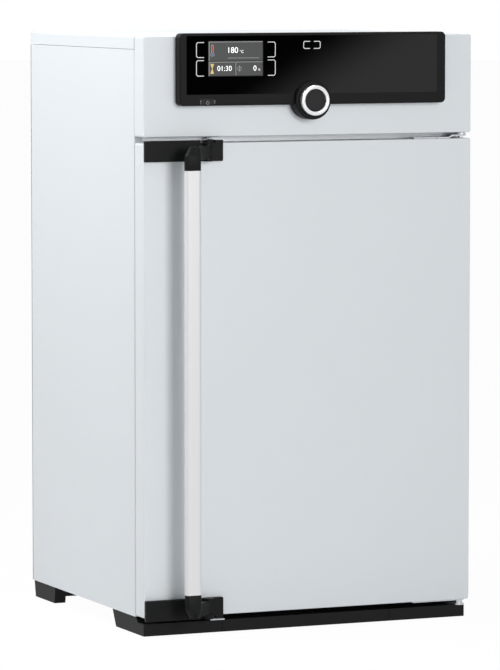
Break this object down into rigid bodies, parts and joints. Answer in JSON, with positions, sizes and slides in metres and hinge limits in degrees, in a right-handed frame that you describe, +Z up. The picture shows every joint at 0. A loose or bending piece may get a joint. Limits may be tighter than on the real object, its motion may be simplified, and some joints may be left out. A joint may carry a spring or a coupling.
{
  "type": "hot air sterilizer",
  "caption": "Floor- or bench-standing hot air sterilizer: stainless cabinet, heated chamber with wire grids, insulated door with a long swivel handle, control unit with display and turn ring.",
  "frame": {"origin": "on the floor, under the middle of the whole object with its handle and vent tube", "axes": "+Z up, the front with the door faces -Y, +X is to the right seen from the front"},
  "size_m": [0.585, 0.588, 0.9782],
  "materials": {
    "textured_stainless": "fine textured satin",
    "frame_stainless": "smooth satin",
    "liner_stainless": "bright drawn",
    "zinc_steel": "galvanised, dull",
    "satin_aluminium": "satin anodised",
    "silver_ring": "bright satin",
    "cockpit_black": "satin moulded",
    "control_glass": "black, glossy",
    "display": "dark screen",
    "button_black": "satin",
    "plinth_black": "matte moulded",
    "latch_black": "fine moulded grain",
    "silicone": "matte grey",
    "mineral_wool": "matte fibre",
    "heater_steel": "heat-tinted",
    "probe_steel": "drawn tube",
    "vent_stainless": "satin",
    "motor_case": "matte",
    "circuit_board": "solder mask",
    "core_laminate": "varnished",
    "sink_aluminium": "matte extruded",
    "inlet_black": "matte",
    "hub_plastic": "matte",
    "hardware_steel": "bright zinc",
    "grid_wire": "electropolished"
  },
  "bodies": {
    "cabinet": {"top_lid": "textured_stainless", "left_side_panel": "textured_stainless", "right_side_panel": "textured_stainless", "rear_panel": "zinc_steel", "base_pan": "zinc_steel", "front_frame": "frame_stainless", "control_fascia": "textured_stainless", "chamber_liner": "liner_stainless", "chamber_jacket": "mineral_wool", "left_heater": "heater_steel", "right_heater": "heater_steel", "top_heater": "heater_steel", "bottom_heater": "heater_steel", "temperature_probes": "probe_steel", "vent_tube": "vent_stainless", "flap_motor": "motor_case", "electronics_tray": "zinc_steel", "power_board": "circuit_board", "transformer": "core_laminate", "relay_heat_sink": "sink_aluminium", "mains_inlet": "inlet_black", "cockpit_housing": "cockpit_black", "cockpit_glass": "control_glass", "display_module": "display", "control_board": "circuit_board", "knob_collar": "cockpit_black", "encoder_hub": "hub_plastic", "front_left_foot": "plinth_black", "front_right_foot": "plinth_black", "front_plinth_bar": "plinth_black", "rear_left_foot": "plinth_black", "rear_right_foot": "plinth_black", "rear_crossbar": "plinth_black", "upper_hinge_bracket": "hardware_steel", "lower_hinge_bracket": "hardware_steel", "hinge_pins": "hardware_steel", "upper_strike": "hardware_steel", "lower_strike": "hardware_steel", "casing_screws": "hardware_steel"},
    "door": {"door_outer_panel": "textured_stainless", "door_inner_panel": "frame_stainless", "door_insulation": "mineral_wool", "door_gasket": "silicone", "upper_hinge_leaf": "hardware_steel", "lower_hinge_leaf": "hardware_steel", "upper_latch_block": "latch_black", "lower_latch_block": "latch_black"},
    "handle": {"handle_bar": "satin_aluminium", "upper_handle_arm": "latch_black", "lower_handle_arm": "latch_black", "pivot_pins": "hardware_steel", "upper_latch_tongue": "hardware_steel", "lower_latch_tongue": "hardware_steel"},
    "turn_ring": {"turn_ring": "silver_ring"},
    "confirm_button": {"confirm_button": "button_black"},
    "power_key": {"power_key": "button_black"},
    "vent_flap": {"vent_flap": "vent_stainless"},
    "upper_grid": {"upper_grid": "grid_wire"},
    "lower_grid": {"lower_grid": "grid_wire"}
  },
  "joints": [
    {"name": "door_hinge", "type": "hinge", "parent": "cabinet", "child": "door", "pos_m": [0.2805, -0.224, 0.41585], "axis": [0, 0, 1], "range_deg": [0, 170]},
    {"name": "handle_swivel", "type": "hinge", "parent": "door", "child": "handle", "pos_m": [-0.184, -0.247, 0.41585], "axis": [0, 0, 1], "range_deg": [0, 45]},
    {"name": "ring_turn", "type": "hinge", "parent": "cabinet", "child": "turn_ring", "pos_m": [-0.0045, -0.27, 0.8685], "axis": [0, 1, 0], "continuous": true},
    {"name": "confirm_press", "type": "slide", "parent": "cabinet", "child": "confirm_button", "axis": [0, 1, 0], "range_m": [0, 0.001], "stiffness_N_per_m": 1500, "springref_m": -0.001},
    {"name": "key_press", "type": "slide", "parent": "cabinet", "child": "power_key", "axis": [0, 1, 0], "range_m": [0, 0.0008], "stiffness_N_per_m": 1500, "springref_m": -0.0008},
    {"name": "flap_turn", "type": "hinge", "parent": "cabinet", "child": "vent_flap", "pos_m": [0, 0.256, 0.637], "axis": [1, 0, 0], "range_deg": [0, 90]},
    {"name": "upper_grid_slide", "type": "slide", "parent": "cabinet", "child": "upper_grid", "axis": [0, -1, 0], "range_m": [0, 0.015]},
    {"name": "lower_grid_slide", "type": "slide", "parent": "cabinet", "child": "lower_grid", "axis": [0, -1, 0], "range_m": [0, 0.015]}
  ]
}
